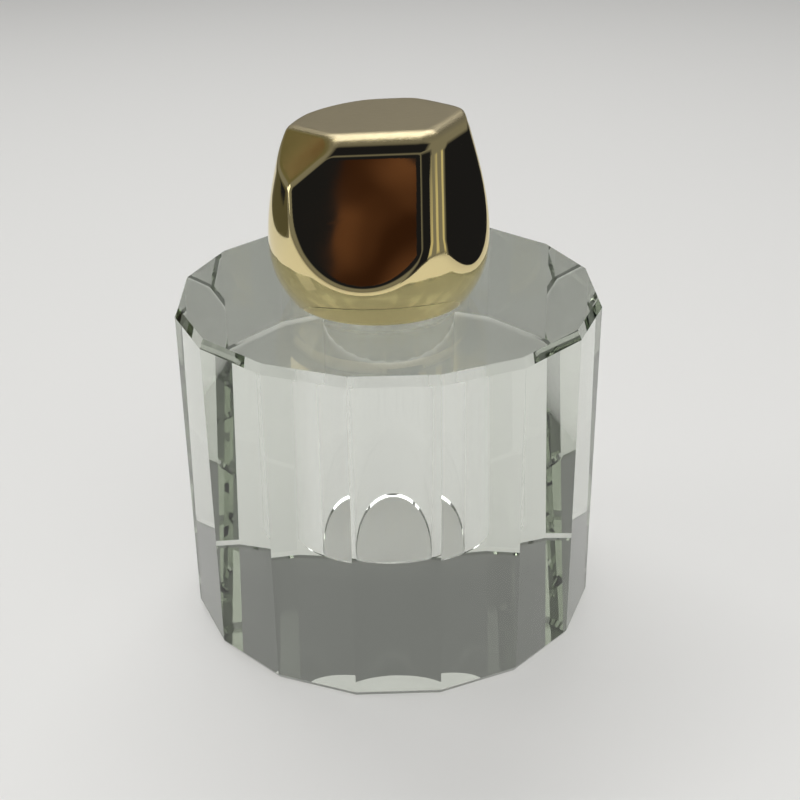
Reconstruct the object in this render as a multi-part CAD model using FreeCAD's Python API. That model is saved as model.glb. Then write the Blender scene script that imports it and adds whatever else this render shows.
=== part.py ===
"""Faceted crystal perfume bottle with a gold-plated nugget screw cap.

Millimetres. The origin is the centre of the base, +Z points up, and one facet of the crystal
faces -Y. The well, the neck and the screw thread share the Z axis.
"""
import FreeCAD
import Part
import math
import os

# Crystal block
FACETS = 16
ACROSS_FLATS = 50.0
CORNER_R = ACROSS_FLATS / 2 / math.cos(math.pi / FACETS)
BLOCK_H = 41.2
TOP_BEVEL = (1.1, 0.5)  # drop, inset
BASE_BEVEL = (0.6, 0.35)

# Drilled well
WELL_R = 8.0
WELL_FLOOR_Z = 11.6

# Threaded neck, bonded flush into the mouth of the well
BOND_GAP = 0.05
SPIGOT_R = WELL_R - BOND_GAP
SPIGOT_LEN = 5.5
O_RING_WIRE_R = 0.5
O_RING_DEPTHS = {"upper_o_ring": 1.9, "lower_o_ring": 3.9}
O_RING_GROOVE_W = 1.2
O_RING_GROOVE_DEPTH = 0.95
NECK_R = 4.9
NECK_BORE_R = 3.8
NECK_H = 8.0
THREAD_LEAD = 3.0
THREAD_TURNS = 1.75
THREAD_DEPTH = 0.5
THREAD_ROOT_W = 1.3
THREAD_CREST_W = 0.6
THREAD_ROOT_SINK = 0.2
THREAD_START_H = 1.6

# Orifice reducer, pressed into the neck
REDUCER_LIP_T = 0.6
REDUCER_LIP_R = 4.7
REDUCER_PLUG_R = NECK_BORE_R - 0.02  # a push fit
REDUCER_LEN = 5.0
REDUCER_WALL = 0.8
ORIFICE_R = 1.0

# Sealing disc, loose inside the cap
DISC_GAP = 0.05
DISC_T = 0.8
DISC_R = 5.4

# Threaded cap liner
THREAD_CLEARANCE = 0.2
LINER_BORE_R = NECK_R + THREAD_DEPTH + THREAD_CLEARANCE
LINER_R = 6.9
LINER_ROOF_T = 1.0
LINER_RIBS = 20
LINER_RIB_R = 0.2
LINER_RECESS = 0.3  # how far its mouth sits inside the shell's

# Cap shell: a turned body cut by flat facets, off the thread's centre
CAP_GAP = 0.3
CAP_CENTRE = (-1.0, -2.0)
CAP_EDGE_R = 2.0
OFFSET_TOLERANCE = 0.001
# (height above the crystal, radius) up the side of the uncut body
CAP_SIDE = [(0.0, 10.2), (1.5, 11.2), (3.8, 12.3), (6.1, 12.75), (10.7, 12.6), (15.8, 11.6), (20.4, 10.3)]
CAP_BODY_TOP_H = 24.0
CAP_BODY_TOP_R = 9.0
# Facets: (azimuth from -Y towards +X, elevation of the outward normal, distance from the top
# face's centre)
SOFT_FACETS = [
    (-11.0, 26.5, 15.55),
    (57.9, 14.5, 13.84),
    (131.0, 11.0, 12.95),
    (171.0, 14.0, 14.2),
    (-109.0, 12.2, 15.8),
    (-70.0, 85.7, 20.6),
]
CRISP_FACETS = [
    (-65.0, 12.1, 16.1),
    (-48.5, 48.7, 20.24),
]
SOCKET_CLEARANCE = 0.05

# Heights that follow from the sizes above
NECK_TOP_Z = BLOCK_H + NECK_H
DISC_Z = NECK_TOP_Z + REDUCER_LIP_T + DISC_GAP
LINER_ROOF_Z = DISC_Z + DISC_T + DISC_GAP
LINER_TOP_Z = LINER_ROOF_Z + LINER_ROOF_T
CAP_Z = BLOCK_H + CAP_GAP
LINER_Z = CAP_Z + LINER_RECESS

UP = FreeCAD.Vector(0, 0, 1)


def at(x, y, z):
    """A point."""
    return FreeCAD.Vector(x, y, z)


def disc(radius, z_low, z_high):
    """A plain cylinder on the bottle axis."""
    return Part.makeCylinder(radius, z_high - z_low, at(0, 0, z_low), UP)


def tube(outer_r, inner_r, z_low, z_high):
    """A ring on the bottle axis."""
    return disc(outer_r, z_low, z_high).cut(disc(inner_r, z_low, z_high))


def facet_ring(radius, z):
    """The corners of the faceted outline at one height, with a flat facing -Y."""
    step = 2 * math.pi / FACETS
    return [
        at(radius * math.sin((k + 0.5) * step), -radius * math.cos((k + 0.5) * step), z)
        for k in range(FACETS)
    ]


def polygon_face(points):
    """A flat face through a closed ring of points."""
    return Part.Face(Part.makePolygon(points + points[:1]))


def make_crystal():
    """The faceted block with bevelled rims and its flat-bottomed well."""
    rings = [
        facet_ring(CORNER_R - BASE_BEVEL[1], 0),
        facet_ring(CORNER_R, BASE_BEVEL[0]),
        facet_ring(CORNER_R, BLOCK_H - TOP_BEVEL[0]),
        facet_ring(CORNER_R - TOP_BEVEL[1], BLOCK_H),
    ]
    faces = [polygon_face(rings[0]), polygon_face(rings[-1])]
    for low, high in zip(rings, rings[1:]):
        for k in range(FACETS):
            n = (k + 1) % FACETS
            faces.append(polygon_face([low[k], low[n], high[n], high[k]]))
    block = Part.makeSolid(Part.makeShell(faces))
    return block.cut(disc(WELL_R, WELL_FLOOR_Z, BLOCK_H))


def make_thread():
    """One helical ridge, trapezoid in section, sunk a little into the neck."""
    root_r = NECK_R - THREAD_ROOT_SINK
    start_z = BLOCK_H + THREAD_START_H
    helix = Part.makeHelix(THREAD_LEAD, THREAD_LEAD * THREAD_TURNS, root_r)
    helix.translate(at(0, 0, start_z))
    crest_r = NECK_R + THREAD_DEPTH
    section = Part.makePolygon([
        at(root_r, 0, start_z - THREAD_ROOT_W / 2),
        at(crest_r, 0, start_z - THREAD_CREST_W / 2),
        at(crest_r, 0, start_z + THREAD_CREST_W / 2),
        at(root_r, 0, start_z + THREAD_ROOT_W / 2),
        at(root_r, 0, start_z - THREAD_ROOT_W / 2),
    ])
    return Part.Wire(helix.Edges).makePipeShell([section], True, True)


def make_neck():
    """The threaded neck: a grooved spigot inside the well and a screw finish above it."""
    body = disc(SPIGOT_R, BLOCK_H - SPIGOT_LEN, BLOCK_H)
    for depth in O_RING_DEPTHS.values():
        low = BLOCK_H - depth - O_RING_GROOVE_W / 2
        groove = tube(WELL_R, SPIGOT_R - O_RING_GROOVE_DEPTH, low, low + O_RING_GROOVE_W)
        body = body.cut(groove)
    body = body.fuse(disc(NECK_R, BLOCK_H, NECK_TOP_Z))
    body = body.fuse(make_thread())
    return body.cut(disc(NECK_BORE_R, BLOCK_H - SPIGOT_LEN, NECK_TOP_Z))


def make_o_ring(depth):
    """A rubber ring in one of the spigot's grooves."""
    return Part.makeTorus(WELL_R - O_RING_WIRE_R, O_RING_WIRE_R, at(0, 0, BLOCK_H - depth), UP)


def make_reducer():
    """The thimble-shaped plug with a small hole, hooked over the neck's rim by its lip."""
    plug_z = NECK_TOP_Z - REDUCER_LEN
    lip_z = NECK_TOP_Z + REDUCER_LIP_T
    body = disc(REDUCER_PLUG_R, plug_z, lip_z)
    body = body.fuse(disc(REDUCER_LIP_R, NECK_TOP_Z, lip_z))
    body = body.cut(disc(REDUCER_PLUG_R - REDUCER_WALL, plug_z + REDUCER_WALL, lip_z))
    return body.cut(disc(ORIFICE_R, plug_z, NECK_TOP_Z))


def make_sealing_disc():
    """The foam disc that closes the neck."""
    return disc(DISC_R, DISC_Z, DISC_Z + DISC_T)


def make_liner():
    """The inner cap, ribbed outside where the shell grips it."""
    core_r = LINER_R - LINER_RIB_R
    body = disc(core_r, LINER_Z, LINER_TOP_Z)
    for k in range(LINER_RIBS):
        angle = 2 * math.pi * k / LINER_RIBS
        foot = at(core_r * math.cos(angle), core_r * math.sin(angle), LINER_Z)
        body = body.fuse(Part.makeCylinder(LINER_RIB_R, LINER_TOP_Z - LINER_Z, foot, UP))
    return body.cut(disc(LINER_BORE_R, LINER_Z, LINER_ROOF_Z))


def cap_round_body():
    """The turned body before its facets are cut."""
    side = Part.BSplineCurve()
    side.interpolate([at(r, 0, h) for h, r in CAP_SIDE])
    rim = at(CAP_SIDE[-1][1], 0, CAP_SIDE[-1][0])
    crown = at(CAP_BODY_TOP_R, 0, CAP_BODY_TOP_H)
    edges = [
        Part.LineSegment(at(0, 0, 0), at(CAP_SIDE[0][1], 0, 0)).toShape(),
        side.toShape(),
        Part.LineSegment(rim, crown).toShape(),
        Part.LineSegment(crown, UP * CAP_BODY_TOP_H).toShape(),
        Part.LineSegment(UP * CAP_BODY_TOP_H, at(0, 0, 0)).toShape(),
    ]
    solid = Part.Face(Part.Wire(edges)).revolve(at(0, 0, 0), UP, 360)
    solid.translate(at(CAP_CENTRE[0], CAP_CENTRE[1], BLOCK_H))
    return solid


def half_space(azimuth, elevation, distance):
    """A large block that ends at one facet plane of the cap."""
    a, e = math.radians(azimuth), math.radians(elevation)
    normal = at(math.sin(a) * math.cos(e), -math.cos(a) * math.cos(e), math.sin(e))
    size = 4 * ACROSS_FLATS
    block = Part.makeBox(size, size, size, at(-size / 2, -size / 2, -size))
    block.Placement = FreeCAD.Placement(normal * distance + UP * BLOCK_H, FreeCAD.Rotation(UP, normal))
    return block


def soft_facet_block():
    """The soft facets as one block with rounded edges: a smaller block grown by the edge radius."""
    side = ACROSS_FLATS
    height = BLOCK_H + CAP_BODY_TOP_H
    block = Part.makeBox(side, side, height, at(-side / 2, -side / 2, 0))
    for azimuth, elevation, distance in SOFT_FACETS:
        block = block.common(half_space(azimuth, elevation, distance - CAP_EDGE_R))
    return block.makeOffsetShape(CAP_EDGE_R, OFFSET_TOLERANCE, join=0)


def make_shell():
    """The plated shell, with a socket for the liner."""
    body = cap_round_body().common(soft_facet_block())
    for facet in CRISP_FACETS:
        body = body.common(half_space(*facet))
    body = body.cut(disc(CORNER_R, BLOCK_H, CAP_Z))
    return body.cut(disc(LINER_R + SOCKET_CLEARANCE, CAP_Z, LINER_TOP_Z + SOCKET_CLEARANCE))


def write_part(node, shape):
    """Export one sub-part, and say whether it is one sound solid."""
    solids = shape.Solids
    print(node, "valid", shape.isValid(), "solids", len(solids), "volume", round(shape.Volume, 1))
    solids[0].exportStep("parts/" + node + ".step")


os.makedirs("parts", exist_ok=True)
write_part("crystal_body", make_crystal())
write_part("threaded_neck", make_neck())
for ring_name, ring_depth in O_RING_DEPTHS.items():
    write_part(ring_name, make_o_ring(ring_depth))
write_part("orifice_reducer", make_reducer())
write_part("sealing_disc", make_sealing_disc())
write_part("cap_liner", make_liner())
write_part("cap_shell", make_shell())
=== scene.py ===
"""Looks of a faceted crystal perfume bottle with a gold-plated nugget cap.

Metres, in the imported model's frame: +Z up, base on z = 0, one crystal facet facing -Y.
"""
import math

import bmesh
import bpy
import numpy as np
from mathutils import Matrix, Vector


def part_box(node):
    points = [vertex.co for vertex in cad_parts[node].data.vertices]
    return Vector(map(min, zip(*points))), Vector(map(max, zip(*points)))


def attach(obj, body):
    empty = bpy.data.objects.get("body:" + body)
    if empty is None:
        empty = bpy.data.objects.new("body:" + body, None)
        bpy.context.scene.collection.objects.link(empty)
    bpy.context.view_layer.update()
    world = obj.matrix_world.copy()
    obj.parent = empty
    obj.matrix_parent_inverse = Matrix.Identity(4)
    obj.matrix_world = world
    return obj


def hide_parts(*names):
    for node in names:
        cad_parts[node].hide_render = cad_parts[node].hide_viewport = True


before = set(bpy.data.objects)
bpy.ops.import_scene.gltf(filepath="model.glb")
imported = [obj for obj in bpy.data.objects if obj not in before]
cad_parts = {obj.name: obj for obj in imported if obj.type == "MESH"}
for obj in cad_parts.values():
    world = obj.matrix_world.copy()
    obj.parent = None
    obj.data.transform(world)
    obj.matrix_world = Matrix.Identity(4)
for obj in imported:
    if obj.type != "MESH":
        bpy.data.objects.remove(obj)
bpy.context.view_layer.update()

MM = 0.001

# Crystal block, in millimetres where the frame doesn't give the size
FACETS = 16
TOP_BEVEL = (1.1, 0.5)  # drop, inset
BASE_BEVEL = (0.6, 0.35)
WELL_R = 8.0
WELL_FLOOR_Z = 11.6
WELL_SEGMENTS = 256
FLOOR_CHAMFER = 0.3
MOUTH_CHAMFER = 0.2

# Neck, in millimetres from the crystal's top face
SPIGOT_R = 7.95
SPIGOT_LEN = 5.5
O_RING_WIRE_R = 0.5
O_RING_DEPTHS = {"upper_o_ring": 1.9, "lower_o_ring": 3.9}
O_RING_GROOVE_W = 1.2
O_RING_GROOVE_R = 7.0
NECK_R = 4.9
NECK_BORE_R = 3.8
NECK_H = 8.0
NECK_RIM_R = 0.15
THREAD_LEAD = 3.0
THREAD_TURNS = 1.75
THREAD_DEPTH = 0.5
THREAD_START_H = 1.6
THREAD_HALF_W = 0.55
THREAD_FLANK = 0.3
THREAD_FADE = 0.05  # turns over which each end of the ridge dies away
NECK_SEGMENTS = 256
NECK_ROW = 0.05

# Cap, in millimetres above the crystal's top face and from the thread's axis
CAP_CENTRE = (-1.0, -2.0)
CAP_GAP = 0.3
CAP_EDGE_R = 2.0
CAP_BLEND_R = 0.35
CAP_RIM_R = 0.4
# (height, radius) up the side of the uncut body
CAP_SIDE = [(0.0, 10.2), (1.5, 11.2), (3.8, 12.3), (6.1, 12.75), (10.7, 12.6), (15.8, 11.6), (20.4, 10.3)]
# Facets: (azimuth from -Y towards +X, elevation of the outward normal, distance from the top
# face's centre)
FRONT_FACET = (-11.0, 26.5, 15.55)
RIGHT_FACET = (57.9, 14.5, 13.84)
TOP_FACET = (-70.0, 85.7, 20.6)
BACK_FACETS = [(131.0, 11.0, 12.95), (171.0, 14.0, 14.2), (-109.0, 12.2, 15.8)]
SOFT_FACETS = [FRONT_FACET, RIGHT_FACET, *BACK_FACETS, TOP_FACET]
LEFT_FACET = (-65.0, 12.1, 16.1)
CORNER_FACET = (-48.5, 48.7, 20.24)
CRISP_FACETS = [LEFT_FACET, CORNER_FACET]
# The same upward part also sets where the gold's colour is darkened: painted shade on the cap's top, beside
# its real satin finish
SATIN_AND_SHADE_FROM, SATIN_AND_SHADE_FULL = 0.72, 0.92  # the upward part of a normal where the satin finish sets in
SOCKET_R = 6.95
SOCKET_H = 10.55
CAP_COLUMNS = 420
CAP_ROWS = 240
CAP_EYE_H = 9.0  # rays that find the cap's surface start here, on the thread's axis

# The camera, in units of the block's radius over its corners
VIEW_AZIMUTH = math.radians(-1.53)
VIEW_ELEVATION = math.radians(26.6)
VIEW_ROLL = math.radians(-0.72)
VIEW_DISTANCE = 6.75
AIM_BELOW_TOP = 0.795
AIM_RIGHT = 0.0495
AIM_UP = 0.1814
LENS_MM = 61.2

low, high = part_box("crystal_body")
BLOCK_H = high.z / MM
CORNER_R = (high.y - low.y) / 2 / MM / math.cos(math.pi / FACETS)


# ---------------------------------------------------------------- mesh helpers

def add_object(name, mesh):
    """A new object in the scene."""
    obj = bpy.data.objects.new(name, mesh)
    bpy.context.scene.collection.objects.link(obj)
    return obj


def polygon_ring(bm, radius, z, count, phase):
    """Vertices round the bottle axis, in millimetres; angle 0 faces -Y."""
    ring = []
    for k in range(count):
        a = 2 * math.pi * (k + phase) / count
        ring.append(bm.verts.new((radius * math.sin(a) * MM, -radius * math.cos(a) * MM, z * MM)))
    return ring


def band(bm, ring_a, ring_b, smooth=False, material=0):
    """Quads between two rings of equal count."""
    for k in range(len(ring_a)):
        n = (k + 1) % len(ring_a)
        face = bm.faces.new((ring_a[k], ring_a[n], ring_b[n], ring_b[k]))
        face.smooth = smooth
        face.material_index = material


# ---------------------------------------------------------------- materials

class Nodes:
    """A new material's node tree, with short calls for the nodes used here."""

    def __init__(self, name):
        self.material = bpy.data.materials.new(name)
        self.material.use_nodes = True
        self.tree = self.material.node_tree
        self.shader = self.tree.nodes["Principled BSDF"]
        self.output = self.tree.nodes["Material Output"]
        self.coords = self.tree.nodes.new("ShaderNodeTexCoord").outputs["Object"]

    def link(self, source, target):
        self.tree.links.new(source, target)

    def set(self, **values):
        for key, value in values.items():
            self.shader.inputs[key.replace("_", " ")].default_value = value

    def noise(self, scale, detail=4.0, stretch=None):
        node = self.tree.nodes.new("ShaderNodeTexNoise")
        node.inputs["Scale"].default_value = scale
        node.inputs["Detail"].default_value = detail
        source = self.coords
        if stretch:
            mapping = self.tree.nodes.new("ShaderNodeMapping")
            mapping.inputs["Scale"].default_value = stretch
            self.link(source, mapping.inputs["Vector"])
            source = mapping.outputs["Vector"]
        self.link(source, node.inputs["Vector"])
        return node.outputs["Fac"]

    def ramp(self, source, from_low, from_high, to_low, to_high):
        node = self.tree.nodes.new("ShaderNodeMapRange")
        node.inputs["From Min"].default_value = from_low
        node.inputs["From Max"].default_value = from_high
        node.inputs["To Min"].default_value = to_low
        node.inputs["To Max"].default_value = to_high
        self.link(source, node.inputs["Value"])
        return node.outputs["Result"]

    def math(self, operation, a, b):
        node = self.tree.nodes.new("ShaderNodeMath")
        node.operation = operation
        for socket, value in zip(node.inputs, (a, b)):
            if isinstance(value, (int, float)):
                socket.default_value = value
            else:
                self.link(value, socket)
        return node.outputs["Value"]

    def mix_colour(self, factor, a, b):
        node = self.tree.nodes.new("ShaderNodeMix")
        node.data_type = "RGBA"
        self.link(factor, node.inputs["Factor"])
        for socket, value in ((node.inputs[6], a), (node.inputs[7], b)):
            if isinstance(value, tuple):
                socket.default_value = value
            else:
                self.link(value, socket)
        return node.outputs[2]

    def attribute(self, name):
        node = self.tree.nodes.new("ShaderNodeAttribute")
        node.attribute_name = name
        return node.outputs["Fac"]

    def bump(self, height, distance):
        node = self.tree.nodes.new("ShaderNodeBump")
        node.inputs["Distance"].default_value = distance
        node.inputs["Strength"].default_value = 1.0
        self.link(height, node.inputs["Height"])
        self.link(node.outputs["Normal"], self.shader.inputs["Normal"])


CRYSTAL_TINT = (0.70, 0.74, 0.66, 1)
CRYSTAL_DENSITY = 18.0


def tint_depth(n):
    """The crystal's faint colour, which only shows through its thickness."""
    absorb = n.tree.nodes.new("ShaderNodeVolumeAbsorption")
    absorb.inputs["Color"].default_value = CRYSTAL_TINT
    absorb.inputs["Density"].default_value = CRYSTAL_DENSITY
    n.link(absorb.outputs["Volume"], n.output.inputs["Volume"])


def crystal_material():
    """Polished optical crystal: clear, a trace of green in the depth, hair-fine polishing marks."""
    n = Nodes("polished_crystal")
    n.set(Base_Color=(1, 1, 1, 1), Transmission_Weight=1.0, IOR=1.52)
    smudges = n.ramp(n.noise(70, 3.0), 0.45, 0.75, 0.004, 0.02)
    hairlines = n.ramp(n.noise(900, 2.0, (1.0, 1.0, 0.06)), 0.68, 0.72, 0.0, 0.03)
    n.link(n.math("ADD", smudges, hairlines), n.shader.inputs["Roughness"])
    tint_depth(n)
    return n.material


def ground_material(name, clearness, roughness):
    """Crystal as the drill left it: frosted, finely pitted and partly white."""
    n = Nodes(name)
    n.set(Base_Color=(0.95, 0.96, 0.95, 1), Transmission_Weight=clearness, IOR=1.52)
    uneven = n.ramp(n.noise(7000, 2.0), 0.3, 0.7, roughness * 0.9, roughness * 1.1)
    n.link(uneven, n.shader.inputs["Roughness"])
    n.bump(n.noise(7000, 1.0), 0.000003)
    tint_depth(n)
    return n.material


def gold_material():
    """Pale gold plating: mirror-bright facets and bowl, a satin brushed top whose colour is darkened as
    painted shade, faint handling marks.
    """
    n = Nodes("gold_plating")
    satin_and_painted_shade = n.attribute("satin_and_painted_shade")
    brushed = n.noise(4000, 3.0, (0.25, 1.0, 1.0))
    handled = n.ramp(n.noise(120, 4.0), 0.35, 0.75, 0.03, 0.07)
    scratches = n.ramp(n.noise(1400, 2.0, (0.05, 1.0, 0.4)), 0.66, 0.74, 0.0, 0.03)
    smears = n.math("ADD", handled, scratches)
    satin_rough = n.ramp(brushed, 0.3, 0.7, 0.30, 0.38)
    mix = n.tree.nodes.new("ShaderNodeMix")
    n.link(satin_and_painted_shade, mix.inputs["Factor"])
    n.link(smears, mix.inputs[2])
    n.link(satin_rough, mix.inputs[3])
    n.link(mix.outputs[0], n.shader.inputs["Roughness"])
    tone = n.mix_colour(n.noise(60, 3.0), (0.80, 0.66, 0.33, 1), (0.87, 0.75, 0.42, 1))
    # The upward faces get a darker gold than the rest: painted shade on the cap's top; the satin roughness
    # above is the real finish
    n.link(n.mix_colour(satin_and_painted_shade, tone, (0.47, 0.40, 0.25, 1)), n.shader.inputs["Base Color"])
    n.set(Metallic=1.0)
    fine = n.math("MULTIPLY", brushed, n.math("MULTIPLY", satin_and_painted_shade, 0.08))
    polished = n.math("SUBTRACT", 1.0, satin_and_painted_shade)
    ripple = n.math("MULTIPLY", n.noise(130, 1.0), polished)
    n.bump(n.math("ADD", fine, ripple), 0.00003)
    return n.material


def plain_material(name, colour, roughness, grain, grain_depth, **extra):
    """A moulded piece: a little colour variation, uneven gloss and a fine surface grain."""
    n = Nodes(name)
    dark = tuple(0.93 * c for c in colour[:3]) + (1,)
    n.link(n.mix_colour(n.noise(grain / 8, 3.0), dark, colour), n.shader.inputs["Base Color"])
    uneven = n.ramp(n.noise(grain / 3), 0.3, 0.7, roughness * 0.8, roughness * 1.2)
    n.link(uneven, n.shader.inputs["Roughness"])
    n.bump(n.noise(grain), grain_depth)
    n.set(**extra)
    return n.material


def use(obj, *materials):
    """Give an object these materials in its slots."""
    obj.data.materials.clear()
    for material in materials:
        obj.data.materials.append(material)


# ---------------------------------------------------------------- crystal block

def crystal_mesh():
    """The faceted block with bevelled rims and a smooth flat-bottomed well."""
    bm = bmesh.new()
    outline = [
        (CORNER_R - BASE_BEVEL[1], 0),
        (CORNER_R, BASE_BEVEL[0]),
        (CORNER_R, BLOCK_H - TOP_BEVEL[0]),
        (CORNER_R - TOP_BEVEL[1], BLOCK_H),
    ]
    rings = [polygon_ring(bm, r, z, FACETS, 0.5) for r, z in outline]
    for ring_a, ring_b in zip(rings, rings[1:]):
        band(bm, ring_a, ring_b)
    bm.faces.new(rings[0])
    well = [
        polygon_ring(bm, WELL_R + MOUTH_CHAMFER, BLOCK_H, WELL_SEGMENTS, 0),
        polygon_ring(bm, WELL_R, BLOCK_H - MOUTH_CHAMFER, WELL_SEGMENTS, 0),
        polygon_ring(bm, WELL_R, WELL_FLOOR_Z + FLOOR_CHAMFER, WELL_SEGMENTS, 0),
        polygon_ring(bm, WELL_R - FLOOR_CHAMFER, WELL_FLOOR_Z, WELL_SEGMENTS, 0),
    ]
    band(bm, well[0], well[1], smooth=True, material=1)
    band(bm, well[1], well[2], smooth=True)
    band(bm, well[2], well[3], smooth=True, material=1)
    bm.faces.new(well[3]).material_index = 2
    rim_edges = [e for ring in (rings[-1], well[0]) for v in ring for e in v.link_edges if e.is_boundary]
    bmesh.ops.triangle_fill(bm, use_beauty=True, edges=list(set(rim_edges)))
    bmesh.ops.recalc_face_normals(bm, faces=bm.faces)
    mesh = bpy.data.meshes.new("crystal_block")
    bm.to_mesh(mesh)
    bm.free()
    mesh.set_sharp_from_angle(angle=math.radians(20))
    return mesh


def build_crystal():
    block = add_object("crystal_block", crystal_mesh())
    edge = ground_material("ground_well_edge", 0.25, 0.5)
    floor = ground_material("ground_well_floor", 0.15, 0.3)
    use(block, crystal_material(), edge, floor)
    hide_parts("crystal_body")
    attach(block, "bottle")


# ---------------------------------------------------------------- cap

def facet_normal(azimuth, elevation):
    """A facet's outward direction."""
    a, e = math.radians(azimuth), math.radians(elevation)
    return np.array([math.sin(a) * math.cos(e), -math.cos(a) * math.cos(e), math.sin(e)])


def beyond(points, facets):
    """How far points lie outside each facet."""
    return [points @ facet_normal(azimuth, elevation) - distance for azimuth, elevation, distance in facets]


def side_spline():
    """Radius of the uncut body against height, as a smooth curve through CAP_SIDE."""
    heights, radii = np.array(CAP_SIDE).T
    n = len(heights)
    gaps = np.diff(heights)
    system = np.eye(n)
    slopes = np.zeros(n)
    for i in range(1, n - 1):
        system[i, i - 1:i + 2] = [gaps[i - 1], 2 * (gaps[i - 1] + gaps[i]), gaps[i]]
        slopes[i] = 6 * ((radii[i + 1] - radii[i]) / gaps[i] - (radii[i] - radii[i - 1]) / gaps[i - 1])
    bends = np.linalg.solve(system, slopes)

    def radius(h):
        h = np.clip(h, heights[0], heights[-1])
        i = np.clip(np.searchsorted(heights, h) - 1, 0, n - 2)
        a, b = heights[i + 1] - h, h - heights[i]
        g = gaps[i]
        return (
            (bends[i] * a ** 3 + bends[i + 1] * b ** 3) / (6 * g)
            + (radii[i] / g - bends[i] * g / 6) * a
            + (radii[i + 1] / g - bends[i + 1] * g / 6) * b
        )

    return radius


def rounded_max(values, radius):
    """The distance outside an intersection whose edges are rounded to a radius."""
    values = np.stack(values, -1)
    inner = np.minimum(values.max(-1), -radius)
    return inner + np.sqrt((np.maximum(values + radius, 0) ** 2).sum(-1))


def cap_distance(points, side_radius):
    """Below zero inside the cap: its facets, its turned side and its flat mouth."""
    soft = rounded_max(beyond(points, SOFT_FACETS), CAP_EDGE_R)
    out = np.hypot(points[..., 0] - CAP_CENTRE[0], points[..., 1] - CAP_CENTRE[1])
    turned = out - side_radius(points[..., 2])
    body = rounded_max([soft, turned] + beyond(points, CRISP_FACETS), CAP_BLEND_R)
    return rounded_max([body, CAP_GAP - points[..., 2]], CAP_RIM_R)


def cap_points(directions, eye):
    """Where rays from the eye leave the cap."""
    side_radius = side_spline()
    near = np.zeros(directions.shape[:-1])
    far = np.full(directions.shape[:-1], 30.0)
    for _ in range(40):
        middle = (near + far) / 2
        inside = cap_distance(eye + directions * middle[..., None], side_radius) < 0
        near = np.where(inside, middle, near)
        far = np.where(inside, far, middle)
    return eye + directions * near[..., None]


def cap_normals(points):
    """Outward normals from the slope of the distance."""
    side_radius = side_spline()
    step = 1e-3
    slope = np.zeros(points.shape)
    for axis in range(3):
        shift = np.zeros(3)
        shift[axis] = step
        ahead = cap_distance(points + shift, side_radius)
        behind = cap_distance(points - shift, side_radius)
        slope[..., axis] = ahead - behind
    return slope / np.linalg.norm(slope, axis=-1, keepdims=True)


def cap_mesh():
    """The cap's outside as rings of points about the thread's axis, its mouth and its socket."""
    eye = np.array([0.0, 0.0, CAP_EYE_H])
    lowest = -math.atan2(CAP_EYE_H - CAP_GAP, SOCKET_R)
    elevations = np.linspace(lowest, math.pi / 2, CAP_ROWS)
    turns = np.linspace(0, 2 * math.pi, CAP_COLUMNS, endpoint=False)
    e, t = np.meshgrid(elevations[:-1], turns, indexing="ij")
    directions = np.stack([np.sin(t) * np.cos(e), -np.cos(t) * np.cos(e), np.sin(e)], -1)
    outside = cap_points(directions, eye)
    crown = cap_points(np.array([[0.0, 0.0, 1.0]]), eye)
    normals = np.concatenate([cap_normals(outside).reshape(-1, 3), cap_normals(crown)])
    circle = np.stack([np.sin(turns), -np.cos(turns)], -1)
    mouth = np.concatenate([circle * SOCKET_R, np.full((CAP_COLUMNS, 1), CAP_GAP)], 1)
    roof = np.concatenate([circle * SOCKET_R, np.full((CAP_COLUMNS, 1), SOCKET_H)], 1)
    points = np.concatenate([outside.reshape(-1, 3), crown, roof])
    points[:CAP_COLUMNS] = mouth
    rows = CAP_ROWS - 1
    faces = []
    for i in range(rows - 1):
        below, above = i * CAP_COLUMNS, (i + 1) * CAP_COLUMNS
        for k in range(CAP_COLUMNS):
            n = (k + 1) % CAP_COLUMNS
            faces.append((below + k, below + n, above + n, above + k))
    pole = rows * CAP_COLUMNS
    top = (rows - 1) * CAP_COLUMNS
    roof_start = pole + 1
    for k in range(CAP_COLUMNS):
        n = (k + 1) % CAP_COLUMNS
        faces.append((top + k, top + n, pole))
        faces.append((n, k, roof_start + k, roof_start + n))
    faces.append(tuple(roof_start + k for k in reversed(range(CAP_COLUMNS))))
    points = (points + [0, 0, BLOCK_H]) * MM
    mesh = bpy.data.meshes.new("cap_cover")
    mesh.from_pydata(points.tolist(), [], faces)
    mesh.update()
    mesh.polygons.foreach_set("use_smooth", [True] * len(mesh.polygons))
    mesh.set_sharp_from_angle(angle=math.radians(50))
    up = normals[:, 2]
    # Upward faces: the satin finish sets in there, and so does the painted shade that darkens their gold
    satin_and_painted_shade = np.clip((up - SATIN_AND_SHADE_FROM) / (SATIN_AND_SHADE_FULL - SATIN_AND_SHADE_FROM), 0, 1)
    values = np.concatenate([satin_and_painted_shade, np.zeros(CAP_COLUMNS)]).astype(np.float32)
    attribute = mesh.attributes.new("satin_and_painted_shade", "FLOAT", "POINT")
    attribute.data.foreach_set("value", values)
    return mesh


def build_cap():
    cap = add_object("cap_cover", cap_mesh())
    use(cap, gold_material())
    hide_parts("cap_shell")
    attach(cap, "cap")


# ---------------------------------------------------------------- inner pieces

def smooth_step(t):
    """From 0 to 1 with level ends."""
    t = np.clip(t, 0, 1)
    return t * t * (3 - 2 * t)


def thread_radius(angle, h):
    """The neck's radius at an angle from -Y and a height, with its one right-handed ridge."""
    turn = (angle / (2 * math.pi) - 0.25) % 1.0
    ridge = np.zeros_like(angle)
    for k in range(math.ceil(THREAD_TURNS)):
        u = turn + k
        off = np.abs(h - THREAD_START_H - THREAD_LEAD * u)
        ends = smooth_step(u / THREAD_FADE) * smooth_step((THREAD_TURNS - u) / THREAD_FADE)
        ridge = np.maximum(ridge, smooth_step((THREAD_HALF_W - off) / THREAD_FLANK) * ends)
    return NECK_R + THREAD_DEPTH * ridge


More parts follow.
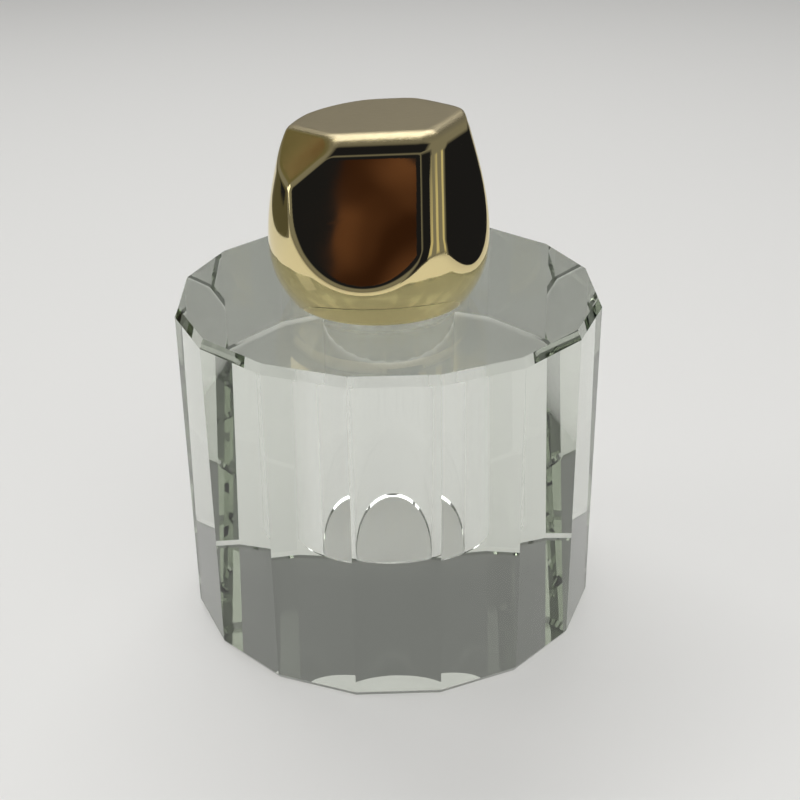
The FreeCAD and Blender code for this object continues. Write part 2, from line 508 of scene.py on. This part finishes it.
def turned_mesh(name, profile, segments):
    """A closed ring turned about the bottle axis; each profile point is (radius or radii, height)."""
    angles = 2 * math.pi * np.arange(segments) / segments
    points = []
    for radius, h in profile:
        x, y = radius * np.sin(angles), -radius * np.cos(angles)
        points.append(np.stack([x, y, np.full(segments, BLOCK_H + h)], -1))
    points = np.concatenate(points) * MM
    faces = []
    for i in range(len(profile)):
        j = (i + 1) % len(profile)
        for k in range(segments):
            n = (k + 1) % segments
            faces.append((i * segments + k, i * segments + n, j * segments + n, j * segments + k))
    mesh = bpy.data.meshes.new(name)
    mesh.from_pydata(points.tolist(), [], faces)
    mesh.update()
    mesh.polygons.foreach_set("use_smooth", [True] * len(mesh.polygons))
    mesh.set_sharp_from_angle(angle=math.radians(40))
    return mesh


def neck_profile():
    """Up the outside of the grooved spigot and the screw finish, over the rim, down the bore."""
    angles = 2 * math.pi * np.arange(NECK_SEGMENTS) / NECK_SEGMENTS
    profile = [(NECK_BORE_R, -SPIGOT_LEN), (SPIGOT_R, -SPIGOT_LEN)]
    for depth in sorted(O_RING_DEPTHS.values(), reverse=True):
        low_h, high_h = -depth - O_RING_GROOVE_W / 2, -depth + O_RING_GROOVE_W / 2
        profile += [(SPIGOT_R, low_h), (O_RING_GROOVE_R, low_h)]
        profile += [(O_RING_GROOVE_R, high_h), (SPIGOT_R, high_h)]
    profile += [(SPIGOT_R, 0.0), (NECK_R, 0.0)]
    for h in np.arange(NECK_ROW, NECK_H - NECK_RIM_R, NECK_ROW):
        profile.append((thread_radius(angles, h), h))
    profile += [(NECK_R, NECK_H - NECK_RIM_R), (NECK_R - NECK_RIM_R, NECK_H), (NECK_BORE_R, NECK_H)]
    return profile


def o_ring_profile(depth):
    """Round the wire of one O-ring."""
    turns = 2 * math.pi * np.arange(48) / 48
    return [(WELL_R - O_RING_WIRE_R * (1 - math.cos(t)), -depth + O_RING_WIRE_R * math.sin(t)) for t in turns]


def build_neck(plastic, silicone):
    """The neck and its two O-rings, fine enough to be looked at through the crystal."""
    pieces = [("screw_neck", neck_profile(), "threaded_neck", plastic, "clear_plastic")]
    for node, depth in O_RING_DEPTHS.items():
        pieces.append((f"{node}_cord", o_ring_profile(depth), node, silicone, "clear_silicone"))
    for name, profile, node, material, slot in pieces:
        piece = add_object(name, turned_mesh(name, profile, NECK_SEGMENTS))
        use(piece, material)
        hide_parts(node)
        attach(piece, "bottle")


def finish_inner_pieces():
    """Materials for the pieces whose shape comes straight from the design."""
    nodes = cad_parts
    clear = plain_material(
        "clear_moulded_plastic", (0.93, 0.94, 0.93, 1), 0.25, 900, 0.000002,
        Transmission_Weight=0.85, IOR=1.49,
    )
    silicone = plain_material(
        "translucent_silicone", (0.88, 0.89, 0.88, 1), 0.35, 2500, 0.00001,
        Transmission_Weight=0.6, IOR=1.41,
    )
    build_neck(clear, silicone)
    milky = plain_material(
        "milky_polyethylene", (0.90, 0.90, 0.87, 1), 0.4, 2500, 0.00002,
        Subsurface_Weight=0.5, Subsurface_Scale=0.001,
    )
    use(nodes["orifice_reducer"], milky)
    foam = plain_material("closed_cell_foam", (0.92, 0.92, 0.90, 1), 0.8, 5000, 0.00008)
    use(nodes["sealing_disc"], foam)
    white = plain_material("white_moulded_plastic", (0.90, 0.90, 0.88, 1), 0.35, 1500, 0.00001)
    use(nodes["cap_liner"], white)


# ---------------------------------------------------------------- stage

# Outlines of the painted reflections on the cap's facets, in millimetres across and up each facet
BROWN_OUTLINE = [
    (-4.3, -2.9), (4.2, -2.9), (6.1, 2.0), (5.6, 10.6), (4.9, 12.4), (3.6, 13.4), (2.0, 13.8), (-3.2, 13.5),
]
LEFT_DARK_OUTLINE = [(-5.0, 11.0), (5.0, 10.2), (5.0, 17.0), (-5.0, 17.0)]
CORNER_BAND_OUTLINE = [(-2.3, -1.5), (-1.0, -1.5), (2.5, 9.0), (-2.3, 9.0)]
CORNER_LINE_OUTLINE = [(-2.7, -1.5), (-2.3, -1.5), (-2.3, 9.0), (-2.7, 9.0)]

FLOOR_HALF = 2.5
FLOOR_DROP = 0.0002


def build_floor():
    """A plain pale floor just under the base, so that the two faces don't share a plane."""
    mesh = bpy.data.meshes.new("floor")
    s, z = FLOOR_HALF, -FLOOR_DROP
    mesh.from_pydata([(-s, -s, z), (s, -s, z), (s, s, z), (-s, s, z)], [], [(0, 1, 2, 3)])
    floor = add_object("floor", mesh)
    n = Nodes("pale_floor")
    n.set(Base_Color=(0.74, 0.735, 0.72, 1), Roughness=0.7)
    use(floor, n.material)


# The cards below glow and are seen only in reflections: they paint the cap's reflections from where the
# camera stands
CARD_MOTTLE = 22.0
CARD_SOLID = 0.6  # the part of a card, from its centre, that keeps its full colour
ROOM_COLOUR = (0.21, 0.21, 0.205, 1)


def hide_from_all_but_mirrors(card):
    """Leave a stage card to the reflections alone."""
    card.visible_camera = False
    card.visible_shadow = False
    card.visible_diffuse = False
    card.visible_transmission = False


def add_reflection_card(name, centre, target, width, height, colour):
    """A glowing card that only reflections see, painting a reflection on the cap, its rim fading into the
    room's grey.
    """
    mesh = bpy.data.meshes.new(name)
    w, h = width / 2, height / 2
    mesh.from_pydata([(-w, -h, 0), (w, -h, 0), (w, h, 0), (-w, h, 0)], [], [(0, 1, 2, 3)])
    card = add_object(name, mesh)
    card.location = centre
    card.rotation_euler = (Vector(target) - Vector(centre)).to_track_quat("Z", "Y").to_euler()
    n = Nodes(name)
    n.set(Base_Color=(0, 0, 0, 1), Roughness=1.0, Specular_IOR_Level=0.0, Emission_Strength=1.0)
    place = n.tree.nodes.new("ShaderNodeSeparateXYZ")
    n.link(n.coords, place.inputs["Vector"])
    across = n.math("ABSOLUTE", n.math("DIVIDE", place.outputs["X"], w), 0.0)
    along = n.math("ABSOLUTE", n.math("DIVIDE", place.outputs["Y"], h), 0.0)
    edge = n.ramp(n.math("MAXIMUM", across, along), CARD_SOLID, 1.0, 0.0, 1.0)
    n.link(n.mix_colour(edge, colour, ROOM_COLOUR), n.shader.inputs["Emission Color"])
    use(card, n.material)
    hide_from_all_but_mirrors(card)


def mirror_spot(facet, point, eye, distance):
    """The place that the camera sees mirrored in a cap facet at a point of it."""
    start = (Vector(point) + Vector((0, 0, BLOCK_H))) * MM
    normal = Vector(facet_normal(*facet[:2]))
    towards = (Vector(eye) - start).normalized()
    return start + (2 * normal.dot(towards) * normal - towards) * distance


def add_shaped_reflection_card(name, facet, outline, eye, distance, bright, dim):
    """A glowing card whose mirror image on a facet paints a reflection with this outline, in millimetres
    across and up the facet.
    """
    normal = Vector(facet_normal(*facet[:2]))
    across = Vector((-normal.y, normal.x, 0)).normalized()
    up = normal.cross(across)
    corners = []
    for x, y in outline:
        corners.append(mirror_spot(facet, normal * facet[2] + across * x + up * y, eye, distance))
    mesh = bpy.data.meshes.new(name)
    mesh.from_pydata([tuple(c) for c in corners], [], [tuple(range(len(corners)))])
    card = add_object(name, mesh)
    n = Nodes(name)
    n.set(Base_Color=(0, 0, 0, 1), Roughness=1.0, Specular_IOR_Level=0.0, Emission_Strength=1.0)
    shade = n.ramp(n.noise(CARD_MOTTLE, 1.0), 0.40, 0.60, 0.0, 1.0)
    n.link(n.mix_colour(shade, dim, bright), n.shader.inputs["Emission Color"])
    use(card, n.material)
    hide_from_all_but_mirrors(card)


def add_softbox(name, centre, target, size, power):
    """A rectangular area lamp aimed at a point."""
    lamp = bpy.data.lights.new(name, "AREA")
    lamp.shape = "RECTANGLE"
    lamp.size, lamp.size_y = size
    lamp.energy = power
    obj = add_object(name, lamp)
    obj.location = centre
    obj.rotation_euler = (Vector(target) - Vector(centre)).to_track_quat("-Z", "Y").to_euler()
    return obj


STAGE_MIDDLE = (0, 0, 0.03)
# Lamps: name, centre, size in metres, watts
LAMPS = [
    ("overhead", (-0.06, 0.30, 0.50), (0.50, 0.20), 1.2),
    ("left_side", (-0.55, 0.05, 0.30), (0.30, 0.30), 0.4),
    ("front_key", (0.20, -0.35, 0.60), (0.50, 0.50), 0.5),
    ("light_through_crystal", (0.10, -0.30, 0.62), (0.50, 0.50), 2.9),
]
# Colours of the glowing cards: painted reflections on the cap, not lamps
BLACK = (0.012, 0.013, 0.020, 1)
BROWN = (0.14, 0.062, 0.035, 1)
DARK_BROWN = (0.034, 0.013, 0.007, 1)
AMBER = (0.16, 0.075, 0.028, 1)
RUST = (0.07, 0.035, 0.015, 1)
PALE = (0.85, 0.80, 0.62, 1)
STRAW = (0.60, 0.56, 0.38, 1)
OLIVE = (0.09, 0.085, 0.055, 1)
PALE_OLIVE = (0.15, 0.14, 0.085, 1)
# Shaped cards: name, facet, outline, distance from the facet in metres, bright and dim colours
SHAPED_CARDS = [
    ("brown_front_card", FRONT_FACET, BROWN_OUTLINE, 0.50, BROWN, DARK_BROWN),
    ("left_dark_card", LEFT_FACET, LEFT_DARK_OUTLINE, 0.22, BLACK, BLACK),
    ("corner_band_card", CORNER_FACET, CORNER_BAND_OUTLINE, 0.38, AMBER, RUST),
    ("corner_line_card", CORNER_FACET, CORNER_LINE_OUTLINE, 0.36, PALE, PALE),
]
# Plain cards: name, (azimuth, elevation) of the surface that mirrors it, a point of that surface
# in cap millimetres, distance from it in metres, width, height, colour
PLAIN_CARDS = [
    ("olive_corner_card", CORNER_FACET, (-9.0, -8.0, 17.5), 0.40, 0.30, 0.30, PALE_OLIVE),
    ("black_edge_card", (10.0, 21.0), (5.0, -11.5, 11.0), 0.30, 0.24, 0.40, BLACK),
    ("straw_stripe_card_1", (19.0, 20.0), (6.0, -11.0, 9.0), 0.28, 0.045, 0.16, STRAW),
    ("straw_stripe_card_2", (29.0, 20.0), (6.0, -11.0, 9.0), 0.28, 0.045, 0.16, STRAW),
    ("straw_stripe_card_3", (41.0, 20.0), (6.0, -11.0, 9.0), 0.28, 0.045, 0.16, STRAW),
    ("black_right_card", RIGHT_FACET, (9.0, -6.0, 10.0), 0.30, 0.32, 0.28, BLACK),
    ("olive_left_card", LEFT_FACET, (-13.0, -5.0, 12.0), 0.25, 0.16, 0.12, OLIVE),
]
BEHIND_BROWN = 1.05  # the black front card stands this much further out than the brown one
BLACK_TOP_PLACE = (-0.05, -0.20, 0.56)


def build_lamps():
    """A light above and behind, a weak side light, and two front lamps kept out of reflections."""
    for name, centre, size, power in LAMPS:
        lamp = add_softbox(name, centre, STAGE_MIDDLE, size, power)
        lamp.visible_transmission = name == "overhead"
        lamp.visible_glossy = name in ("overhead", "left_side")
        # the last lamp stands for the light that clear crystal lets pass
        lamp.data.use_shadow = name != "light_through_crystal"


def build_painted_reflection_cards(eye):
    """Glowing dark and coloured cards, placed from where the camera stands, that paint reflections on the
    gold towards the camera.
    """
    for name, facet, outline, distance, bright, dim in SHAPED_CARDS:
        add_shaped_reflection_card(name, facet, outline, eye, distance, bright, dim)
    for name, facet, point, distance, width, height, colour in PLAIN_CARDS:
        add_reflection_card(name, mirror_spot(facet, point, eye, distance), STAGE_MIDDLE, width, height, colour)
    front = mirror_spot(FRONT_FACET, (-3.0, -12.5, 11.0), eye, 0.50) * BEHIND_BROWN
    add_reflection_card("black_front_card", front, STAGE_MIDDLE, 0.50, 0.34, BLACK)
    add_reflection_card("black_top_card", BLACK_TOP_PLACE, STAGE_MIDDLE, 0.60, 0.42, BLACK)


def build_room():
    """An even dim grey all round."""
    world = bpy.data.worlds.new("room")
    bpy.context.scene.world = world
    world.use_nodes = True
    background = world.node_tree.nodes["Background"]
    background.inputs["Color"].default_value = ROOM_COLOUR
    background.inputs["Strength"].default_value = 1.0


def build_camera():
    """The product view: from the front, a little above, with a long lens."""
    radius = CORNER_R * MM
    turn = Matrix.Rotation(VIEW_AZIMUTH, 3, "Z")
    forward = turn @ Vector((0, math.cos(VIEW_ELEVATION), -math.sin(VIEW_ELEVATION)))
    right = turn @ Vector((1, 0, 0))
    up = right.cross(forward)
    aim = right * AIM_RIGHT * radius + up * AIM_UP * radius
    aim.z += BLOCK_H * MM - AIM_BELOW_TOP * radius
    data = bpy.data.cameras.new("camera")
    data.lens = LENS_MM
    data.sensor_width = 36
    data.clip_start = 0.005
    camera = add_object("camera", data)
    axes = Matrix((right, up, -forward)).transposed() @ Matrix.Rotation(VIEW_ROLL, 3, "Z")
    place = Matrix.Translation(aim - forward * VIEW_DISTANCE * radius)
    camera.matrix_world = place @ axes.to_4x4()
    bpy.context.scene.camera = camera


def set_light_paths():
    """Crystal needs many bounces before its inner reflections die out."""
    cycles = bpy.context.scene.cycles
    cycles.max_bounces = 24
    cycles.transmission_bounces = 24
    cycles.glossy_bounces = 24
    bpy.context.scene.view_settings.view_transform = "Standard"


build_crystal()
build_cap()
finish_inner_pieces()
build_floor()
build_camera()
build_lamps()
build_painted_reflection_cards(bpy.context.scene.camera.matrix_world.translation)
build_room()
set_light_paths()
